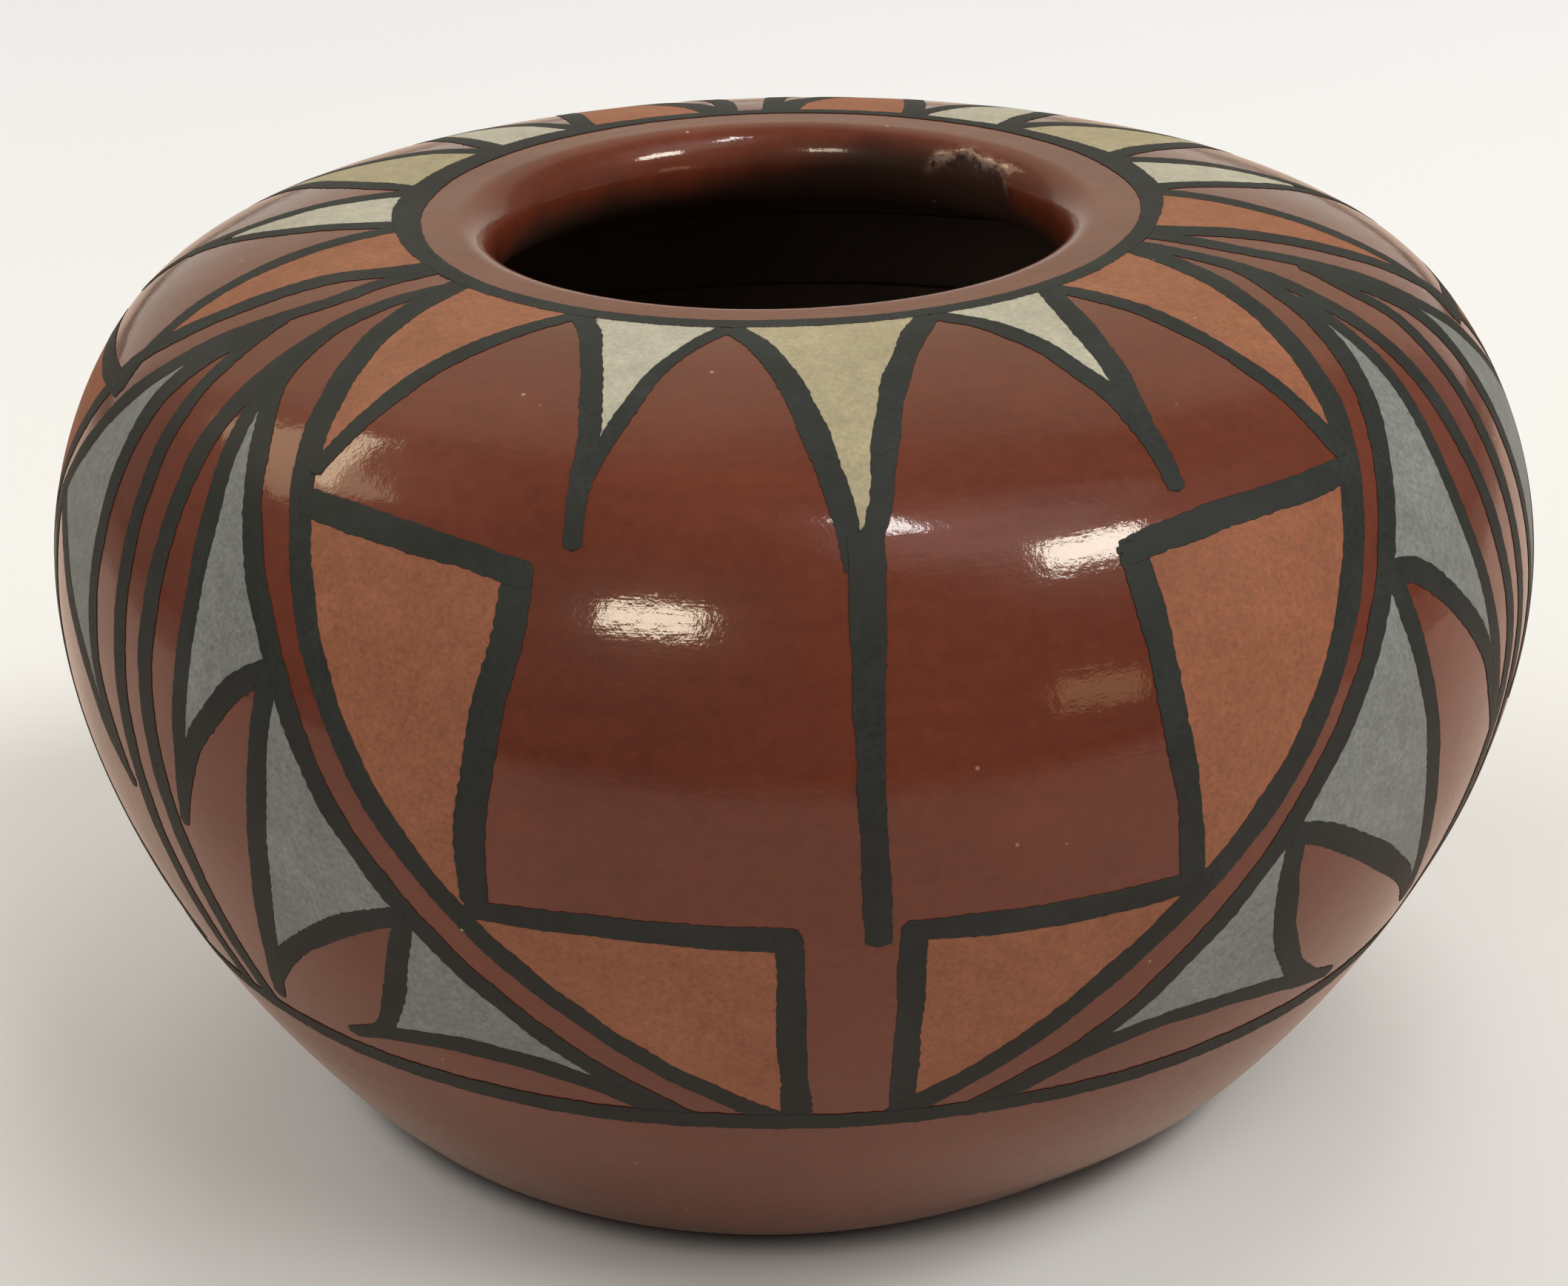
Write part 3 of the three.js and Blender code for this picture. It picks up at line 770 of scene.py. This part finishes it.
front_lines = [
    # left side: inner and outer frame line, three feathers with their edges, foot arc, bundle stripe
    ([(-53.5, 104.2), (-49, 95), (-43.4, 85), (-38.5, 75), (-34, 65), (-28.5, 55), (-21.1, 45),
      (-11.3, 35), (-2.3, 28), (-0.9, 27)], [2.4, 2.35, 2.1, 2, 1.9, 1.8, 1.9]),
    ([(-54.8, 94), (-51, 85.2), (-46.2, 79.2), (-41, 70), (-38.1, 65), (-33, 55), (-26.1, 45), (-17.3, 35),
      (-9.6, 28.3), (-7.4, 27)], [1.5, 1.8, 2.1, 1.9, 1.85, 1.9, 1.7]),
    ([(-53.4, 88), (-50.8, 82.5), (-48.4, 76), (-47.3, 70), (-47.1, 63), (-47.7, 55), (-49, 47.3)],
     [1.7, 1.7, 2, 1.9, 1.8, 1]),
    ([(-37.6, 64), (-40.8, 62), (-43.7, 58.7), (-46.2, 55), (-48.2, 50), (-49.3, 47)],
     [1.9, 2.05, 2, 1.7, 1.1]),
    ([(-38.2, 63.3), (-39.3, 55), (-40.1, 50), (-41.1, 45), (-42.5, 40), (-44, 35.5), (-46.5, 29.8)],
     [1.8, 2.1, 2.2, 2, 1.3]),
    ([(-27.7, 46.6), (-32.1, 44.6), (-37, 41.3), (-41.7, 37.1), (-44.7, 33.4), (-46.7, 29.6)],
     [1.7, 2, 1.85, 2, 1.1]),
    ([(-27.9, 46.2), (-29.2, 42.5), (-31, 37), (-32.8, 33.5), (-35, 31.2), (-38, 29.7)],
     [1.7, 2, 1.7, 1.2]),
    ([(-38.2, 29.8), (-35, 31.2), (-32, 32.1), (-27, 33.1), (-22, 33), (-17, 31.7), (-12.6, 29.6),
      (-8.3, 27.2)], [1.1, 1.75, 2.1, 2.1, 2, 2.2]),
    ([(-53, 103.6), (-54.3, 98.5), (-54.5, 95), (-54, 90), (-53.3, 85), (-52.6, 80), (-52.1, 70),
      (-52, 60), (-51.2, 50), (-50, 40), (-48.9, 27)], [1.7, 2.1, 2.2, 2.15, 2.2]),
    # left steps
    ([(-39.4, 76.6), (-32, 76.1), (-25, 75.4), (-18.4, 74.3)], [2.2, 2.35, 2.15, 1.9]),
    ([(-19.4, 75.2), (-19.6, 70), (-20.5, 65), (-21.3, 60), (-21.9, 55), (-22.2, 48.8)],
     [2.3, 2.55, 2.5, 2.4]),
    ([(-23, 48.6), (-17, 48.6), (-12, 48.5), (-7, 48.3), (-0.2, 47.9)], [1.7, 1.9, 2.1, 2.2]),
    ([(-1.1, 48.8), (-1, 42), (-1, 36), (-0.6, 27)], [2.1, 2.15, 2.25]),
    # left arches
    ([(-39.4, 78.6), (-38.4, 84), (-37.4, 90), (-35.9, 95), (-32.9, 100), (-29.4, 103.5)],
     [1.3, 1.8, 1.9, 1.8, 1.7]),
    ([(-28.7, 103.4), (-24.3, 100), (-20.6, 95), (-18.2, 90), (-16.6, 85), (-15.7, 76.4)],
     [1.9, 1.75, 1.6, 1.8, 1.7, 1.3]),
    ([(-15.8, 82), (-14.6, 90), (-13.4, 95), (-10.6, 100), (-7.2, 103.4)], [0.9, 1.4, 1.4, 1.2, 1.6]),
    ([(-6.8, 103.4), (-2.5, 100), (0.5, 95), (2.1, 90), (3.3, 85), (4.2, 79.5), (4.6, 75)],
     [1.9, 1.85, 2.1, 2.1, 1.9, 1.6]),
    # right arches
    ([(5.5, 76), (6.95, 80), (8.3, 85), (10.1, 90), (12.8, 95), (16.9, 100), (21.4, 103.5)],
     [1.5, 1.75, 1.9, 2.05, 2, 1.9]),
    ([(22, 103.5), (26.9, 100), (29.6, 95), (30.6, 90), (31.2, 85), (30.5, 77.6)],
     [1.8, 1.95, 1.9, 2.1, 1.4]),
    ([(31.5, 83.5), (33.8, 90), (36.1, 95), (39.1, 100), (42.2, 103.4)], [1.2, 1.9, 2.05, 2.2, 1.9]),
    ([(42.4, 103.6), (44.8, 100), (46.2, 95), (46.5, 88), (46.9, 80), (47.5, 76)],
     [1.9, 2, 1.8, 1.8, 1.9]),
    # right steps
    ([(24, 74.1), (27, 74.6), (32, 75.1), (37, 75.2), (42, 75.1), (47.4, 75.1)], [2, 2.2, 2.15, 2]),
    ([(24.9, 75), (25.1, 70), (25.2, 65), (25.5, 60), (26.1, 55), (26.6, 48.8)], [2.4, 2.2, 2.1, 2.2]),
    ([(6.3, 48.5), (12, 48.3), (20, 48.3), (28, 48.5)], [1.8, 2.15, 2.1, 2]),
    ([(7, 49.2), (7.05, 42), (7.1, 35), (7.3, 27)], [2, 2.05, 2]),
    # right side: the same as on the left
    ([(65.6, 103.8), (60.3, 95), (53.5, 85), (47.2, 75), (41, 65), (34, 55), (25, 45), (15.4, 35),
      (7.3, 28.2), (6.1, 27)], [2.4, 2.2, 2.3, 2.2, 2.2, 2.1, 2.2]),
    ([(66.3, 94.4), (59.4, 85), (51.7, 75), (45, 65), (37.9, 55), (30.6, 45), (22.4, 35), (14, 28.4),
      (12.2, 27)], [1.9, 2.05, 2, 1.95, 1.9, 1.9, 2]),
    ([(63.7, 89), (61, 82), (59, 75), (58.2, 68), (59.3, 60), (60.8, 53), (62.6, 47.6)],
     [1.8, 1.6, 1.6, 1.9, 1.3]),
    ([(46.7, 66.8), (49.8, 65.8), (52.7, 63.3), (55.5, 60), (58.3, 55.9), (60.6, 51.2), (62.6, 47.4)],
     [2, 2.2, 2, 1.9, 1.2]),
    ([(47.1, 66.2), (48.2, 60), (49.4, 55), (51.8, 45.7), (54.2, 39.5), (57, 33)], [2, 1.8, 2, 1.8, 1.2]),
    ([(35.1, 49.9), (37.9, 48.7), (42, 46.1), (46.9, 42.3), (52, 38.1), (57, 32.5)],
     [1.8, 2.2, 2.3, 1.8, 1.1]),
    ([(35.5, 49.3), (35.5, 45), (36.7, 40), (38.7, 36.1), (42, 32), (47.4, 29.6)],
     [2, 2.4, 2.1, 2.2, 1.1]),
    ([(12.6, 27.2), (15.5, 28.9), (20.9, 32.4), (27, 34), (32, 33.8), (37, 33.1), (42.2, 31.4),
      (47.6, 29.4)], [1.7, 2, 1.7, 1.9, 1.2]),
    ([(66.8, 103.6), (66.5, 93), (64.7, 84), (63.4, 75), (63.4, 65), (63.8, 56), (63.2, 47), (61.8, 38),
      (60.6, 27)], [2, 2.1, 2, 2.1, 2]),
]
half_lines = [
    ([(53.3, 103.6), (50.9, 100), (47.4, 95), (44, 85), (40, 75), (35.5, 65), (31, 56), (24.5, 47),
      (16, 38), (8, 30.5), (4.5, 28), (3.4, 27)], [2.4, 2.2, 2.1, 2, 2, 2]),
    ([(55.3, 103.6), (55, 99), (54.4, 94), (50.9, 86), (48.2, 80), (44.8, 75), (38.4, 65), (33.3, 56.5),
      (27.5, 47.5), (20, 38), (12, 28.4), (10.6, 27)], [1.9, 2, 2, 2, 1.9, 1.9, 1.8]),
    ([(54.2, 90.5), (53.4, 87.5), (52.2, 84), (51.2, 80), (51.1, 74), (51.4, 66), (52.4, 56), (55, 47.2)],
     [1.6, 2.5, 2.3, 2, 1.9, 1.8, 1.2]),
    ([(38.2, 66), (42, 63.5), (46, 60), (50, 55.2), (53, 50.5), (55.1, 47)], [1.9, 2, 1.9, 1.2]),
    ([(37.9, 65.5), (40, 57), (42.5, 49), (45.5, 41.5), (49.5, 33.5), (51.5, 29.6)], [1.9, 2, 1.9, 1.3]),
    ([(28.3, 49), (33, 47), (38.5, 43.2), (43.5, 38.7), (48, 33.8), (51.6, 29.4)], [1.8, 2, 1.9, 1.2]),
    ([(28.2, 48.5), (29, 44), (30.8, 39), (33.8, 34.5), (38, 31.5), (42.7, 29.5)], [1.9, 2, 1.8, 1.2]),
    ([(9.4, 27.2), (12, 29.2), (17, 32), (23, 33.6), (28.5, 33.5), (34, 32.2), (42.7, 29.4)],
     [1.7, 1.9, 1.9, 1.2]),
    ([(53.9, 90), (55, 86.5), (55.9, 82), (56.3, 77), (56.5, 65), (56.9, 45), (57.2, 27)],
     [1.6, 2.1, 2, 2]),
    ([(43.5, 76.4), (36, 75.9), (29, 75.3), (20.8, 74.6)], [2, 2.1, 2.1]),
    ([(21.4, 75.2), (21.7, 68), (22.4, 61), (23.3, 54), (23.9, 48.7)], [2.3, 2.3, 2.2]),
    ([(25.2, 48.7), (16, 48.5), (8, 48.3), (3.4, 48.3)], [1.8, 2, 2]),
    ([(4.2, 48.9), (4.1, 40), (4, 34), (3.6, 27)], [2, 2.1, 2.1]),
    ([(0.9, 76.5), (1.6, 84), (3.6, 89), (6, 93), (8.3, 97), (10.3, 101), (12, 103.6)],
     [1.7, 1.9, 2, 1.9]),
    ([(12.5, 103.6), (14, 100), (15.6, 96), (17.6, 92), (19.3, 88), (20.3, 84), (20.5, 77.4)],
     [1.9, 1.8, 1.8, 1.4]),
    ([(20.8, 83), (22.3, 88), (24.3, 92), (26.3, 96), (27.9, 100), (29.6, 103.5)], [1.1, 1.6, 1.7, 1.8]),
    ([(30.4, 103.6), (31.8, 101), (34.2, 96), (36.6, 91), (39, 86), (41.2, 81), (43, 75.8)],
     [1.9, 1.9, 1.8, 1.8]),
]
front_middle = [(5.5, 78.3), (5.4, 75), (4.9, 70), (4.55, 62), (4.55, 55), (4.8, 47.1)]
half_middle = [(0, 79.6), (0.1, 70), (-0.2, 60), (0, 47.3)]
neck_ring_edge = [(-180, 103.4), (-155, 103), (-140, 102.3), (-105, 101.9), (-92, 102.1), (-78, 102.8),
                  (-55, 103.2), (-25, 103.5), (0, 103.6), (30, 103.4), (60, 103.1), (80, 102.5),
                  (100, 101.5), (112, 101.4), (125, 102.2), (145, 103), (180, 103.4)]
neck_ring_top = [(-180, 104.6), (-90, 104.7), (-45, 105), (0, 105.25), (45, 104.8), (90, 104), (135, 104.3),
                 (180, 104.6)]
foot_ring_edge = [(-180, 26.35), (180, 26.35)]
foot_ring_top = [(-180, 28.4), (180, 28.4)]


def wavering(turn, size, seed):
    """Wander that closes on itself after a full turn, in degrees."""
    waves = np.array([5, 17, 61, 97, 173, 241, 319, 397, 463])[:, None]
    weight = np.array([1, 0.6, 0.4, 0.35, 0.35, 0.35, 0.35, 0.35, 0.35])[:, None]
    phase = seed * np.arange(1, 10)[:, None] ** 2
    return size * np.sum(weight * np.sin(np.radians(waves * turn[None, :]) + phase), axis=0)


def ring_stroke(lower, upper):
    """Stroke that runs right round the bowl between two edges, each given by (turn, reach) points joined by
    straight lines and by the size and seed of its wander."""
    turn = np.linspace(-180, 180, 1440, endpoint=False)
    edges = [np.interp(turn, *np.array(points).T) + wavering(turn, size, seed)
             for points, size, seed in (lower, upper)]
    low, high = [np.stack([turn, edge], axis=1) for edge in edges]
    return paint_band(low, high, line_share, over_lift)


black_bands = [stroke(points, widths, line_lift) for points, widths in front_lines]
for half in other_halves:
    for points, widths in half_lines:
        shaken = placed(points, half) + hand.normal(0, 1, (len(points), 2)) * half_shake
        black_bands.append(stroke(shaken, widths, line_lift))
black_bands.append(stroke(front_middle, [2.6, 2.65, 2.2, 2.0, 2.1, 1.95], over_lift))
for half in (other_halves[0], other_halves[2]):
    black_bands.append(stroke(placed(half_middle, half), [2.4, 2.5, 2.1, 2.2], over_lift))
black_hoops = [ring_stroke((neck_ring_edge, 0.06, 0.5), (neck_ring_top, 0.04, 1.7)),
               ring_stroke((foot_ring_edge, 0.09, 0.9), (foot_ring_top, 0.08, 2.4))]
black_points, black_faces, black_smooth = merged(black_bands, black_hoops)
black_shades = [(0.0124, 0.0146, 0.0134), (0.0156, 0.0186, 0.0171), (0.0202, 0.0240, 0.0225)]
# the last tint is a painted sheen, lighter on the level shoulder
black = paint_material("black_paint", black_shades, 0.6, 0.32, (1.2, 1.2, 1.25))
piece("black_line_paint", black_points, black_faces, black_smooth, black, [], {})

# Floor: a plain pale studio table that the bowl stands on, with painted shade in the gap under the foot edge
# and a painted light tint, warmer near the bowl and bluer further back. In the polish it shows a painted
# reflection, warmer on the table and dim past the table's edges, where the room begins.
floor_level = -0.2 * mm
floor_half = 4.0
painted_shade_reach = 3.5 * mm  # how far the painted shade in the gap under the foot edge reaches
table_front = -0.52, -0.27  # where the painted reflection of the table fades out in front and at its sides, in metres
table_side = 0.32, 0.42
floor_material, floor_tree, floor_shader = new_material("floor", 0.75, 1.45)
floor_place = coordinates(floor_tree)
floor_cloud = noise(floor_place, 3, 2)
# painted light tint: the floor colour is warmer near the bowl and bluer further back
painted_warm_near = two_tone(floor_cloud, (0.770, 0.770, 0.748), (0.792, 0.792, 0.770))
painted_cool_far = two_tone(floor_cloud, (0.756, 0.776, 0.800), (0.778, 0.798, 0.822))
painted_gap_shade = two_tone(floor_cloud, (0.06, 0.045, 0.038), (0.07, 0.053, 0.045))
# painted reflection: floor colours that only glossy rays see, warmer on the table and dim past its edges
painted_table_reflection = two_tone(floor_cloud, (0.575, 0.457, 0.379), (0.603, 0.479, 0.397))
painted_room_reflection = two_tone(floor_cloud, (0.19, 0.16, 0.135), (0.21, 0.18, 0.15))


def unsigned(value):
    """Value without its sign."""
    return added(value, "Math", {0: value}, operation="ABSOLUTE").outputs[0]


floor_right, floor_back, _ = axes(floor_place)
on_table = product(rising(floor_back, *table_front),
                   span(unsigned(floor_right), *table_side, 1.0, 0.0, "SMOOTHSTEP"))
painted_reflection_tone = blend(on_table, painted_room_reflection, painted_table_reflection)
floor_with_painted_light = blend(rising(floor_back, 0.05, 0.5), painted_warm_near, painted_cool_far)
# painted shade: the floor colour turns dark where ambient occlusion finds the gap under the foot edge
gap_occlusion_probe = floor_tree.nodes.new("ShaderNodeAmbientOcclusion")
gap_occlusion_probe.samples = 6
gap_occlusion_probe.inputs["Distance"].default_value = painted_shade_reach
floor_with_painted_light = blend(rising(gap_occlusion_probe.outputs["AO"], 0.10, 0.47), painted_gap_shade, floor_with_painted_light)
# glossy rays get the painted reflection colours in place of the floor colour
floor_path = floor_tree.nodes.new("ShaderNodeLightPath")
wire(floor_shader, {"Base Color": blend(floor_path.outputs["Is Glossy Ray"], floor_with_painted_light, painted_reflection_tone)})
floor_mesh = bpy.data.meshes.new("floor")
floor_sides = [(-1, -1), (1, -1), (1, 1), (-1, 1)]
floor_corners = [(right * floor_half, back * floor_half, floor_level) for right, back in floor_sides]
floor_mesh.from_pydata(floor_corners, [], [(0, 1, 2, 3)])
floor_mesh.materials.append(floor_material)
floor = bpy.data.objects.new("floor", floor_mesh)
bpy.context.scene.collection.objects.link(floor)

# Light: a dim room, brighter behind the bowl, and soft lamps all round that light it without being mirrored.
# Other lamps are seen only in the polish: two large ones in front, one high up, three windows, two glows.
world = bpy.data.worlds.new("studio")
world.use_nodes = True
bpy.context.scene.world = world
room = world.node_tree
room_place = room.nodes.new("ShaderNodeTexCoord")
room_right, room_back, room_up = axes(room_place.outputs["Generated"])
past_sides = added(room_back, "Math", {0: room_back, 1: unsigned(room_right)}, operation="SUBTRACT")
behind = rising(past_sides.outputs[0], 0.0, 0.25)
back_wall = ramp(room_up, [(0.0, (0.70, 0.64, 0.56)), (0.26, (0.52, 0.45, 0.35)),
                           (0.45, (0.48, 0.41, 0.30)), (0.7, (0.60, 0.52, 0.39)),
                           (0.82, (0.60, 0.52, 0.39)), (0.95, (0.34, 0.29, 0.21))])
front_wall = ramp(room_up, [(0.0, (0.19, 0.17, 0.15)), (0.5, (0.24, 0.21, 0.17)),
                            (0.95, (0.30, 0.26, 0.21))])
wire(room.nodes["Background"], {"Color": blend(behind, front_wall, back_wall)})
aim = Vector((0, 0, 50 * mm))
mirror_distance = 1.2


def panel(name, azimuth, elevation, distance, width, height, radiance, tint=(1, 1, 1), lean=0,
          shape="RECTANGLE"):
    """Light panel facing the bowl: azimuth in degrees from the front towards the right, size in metres,
    turned in its own plane by the lean."""
    turn, rise = math.radians(azimuth), math.radians(elevation)
    towards = Vector((math.sin(turn) * math.cos(rise), -math.cos(turn) * math.cos(rise), math.sin(rise)))
    lamp = bpy.data.lights.new(name, "AREA")
    lamp.shape = shape
    lamp.size = width
    lamp.size_y = height
    lamp.energy = radiance * math.pi * width * height * (math.pi / 4 if shape == "ELLIPSE" else 1)
    lamp.color = tint
    holder = bpy.data.objects.new(name, lamp)
    holder.location = aim + towards * distance
    spun = Quaternion((0, 0, 1), math.radians(lean))
    holder.rotation_euler = (towards.to_track_quat("Z", "Y") @ spun).to_euler()
    bpy.context.scene.collection.objects.link(holder)
    return holder


soft_lamps = [
    ("right_key", 90, 40, 1.3, 0.4, 0.4, 13.3),
    ("right_low", 82, 16, 1.3, 0.6, 0.4, 4.2),
    ("front_key", 38, 55, 1.3, 0.45, 0.4, 5.9),
    ("top_fill", 100, 78, 1.3, 0.4, 0.4, 3.4),
    ("left_fill", -100, 40, 1.3, 0.8, 0.8, 2.8),
    ("front_fill", -30, 40, 1.2, 0.6, 0.6, 1.2),
    ("front_low", -30, 20, 1.3, 0.6, 0.4, 1.7),
    ("back_fill", 178, 49, 1.3, 0.8, 0.8, 1.6),
]
mirrored_lamps = [
    ("left_lamp", -22.5, 35.5, 0.3, 0.13, 20, (1.0, 0.88, 0.66)),
    ("right_lamp", 57.8, 43.6, 0.31, 0.18, 22, (1.0, 0.93, 0.80), -20),
    ("high_lamp", 38.5, 73, 0.075, 0.27, 22, (1.0, 0.97, 0.95)),
    ("low_window", 43.5, 10.2, 0.28, 0.14, 1.9, (1.0, 0.70, 0.34), -6),
    ("left_window", -112, 41, 0.58, 0.42, 2.1, (1.0, 0.8, 0.5)),
    ("left_slit", -114, 47, 0.54, 0.06, 6, (1.0, 0.85, 0.6), -20),
    ("wide_glow", 55, 62, 1.0, 0.62, 0.35, (1.0, 0.88, 0.86), 0, "ELLIPSE"),
    ("near_glow", 52, 60, 0.62, 0.4, 0.45, (1.0, 0.88, 0.86), 0, "ELLIPSE"),
]
for lamp_values in soft_lamps:
    panel(*lamp_values).visible_glossy = False
for name, azimuth, elevation, *lamp_values in mirrored_lamps:
    panel(name, azimuth, elevation, mirror_distance, *lamp_values).visible_diffuse = False

# Camera: a short distance in front of the bowl and above it, as in the photo.
# It looks down with a long lens and is rolled by a little over a degree.
view_down = math.radians(24.35)
view_roll = -0.0214
camera_place = Vector((0, -0.2667, 0.1567))
ahead = Vector((0, math.cos(view_down), -math.sin(view_down)))
level = Vector((1, 0, 0))
upright = level.cross(ahead)
across_view = level * math.cos(view_roll) + upright * math.sin(view_roll)
up_view = upright * math.cos(view_roll) - level * math.sin(view_roll)
camera_data = bpy.data.cameras.new("camera")
camera_data.sensor_fit = "HORIZONTAL"
camera_data.sensor_width = 36
camera_data.lens = 75.33
camera = bpy.data.objects.new("camera", camera_data)
turn_matrix = Matrix((across_view, up_view, -ahead)).transposed().to_4x4()
camera.matrix_world = Matrix.Translation(camera_place) @ turn_matrix
bpy.context.scene.collection.objects.link(camera)
bpy.context.scene.camera = camera
bpy.context.scene.view_settings.view_transform = "Standard"
